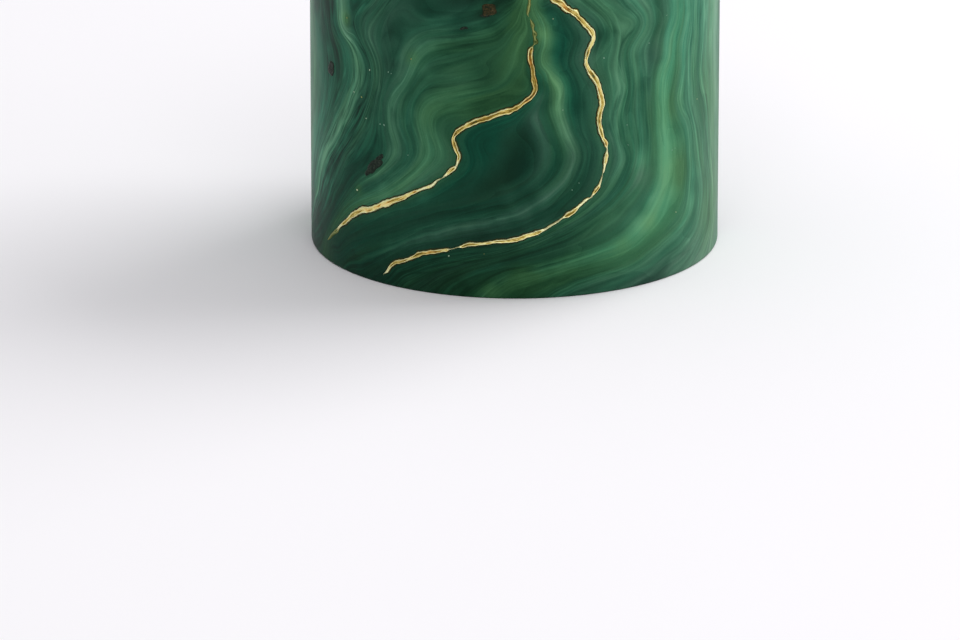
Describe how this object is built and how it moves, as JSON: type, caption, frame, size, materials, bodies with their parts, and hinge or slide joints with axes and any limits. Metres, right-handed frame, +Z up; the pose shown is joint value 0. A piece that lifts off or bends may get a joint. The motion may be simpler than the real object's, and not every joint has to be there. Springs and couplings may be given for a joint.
{
  "type": "marble cake",
  "caption": "Tall round uncut cake under a smooth green marbled skin, with raised wandering seams and flakes of gold leaf, standing on its flat base.",
  "frame": {"origin": "middle of the flat base, on the surface that the cake stands on", "axes": "+Z up the cake's upright axis; the seamed front faces -Y; +X to the right of that front"},
  "size_m": [0.156, 0.1575, 0.1909],
  "materials": {
    "marbled_icing": "satin sugar paste marbled in deep, mid and pale greens",
    "gold_leaf": "crinkled edible gold leaf"
  },
  "bodies": {
    "root": {"cake": "marbled_icing"}
  },
  "joints": []
}
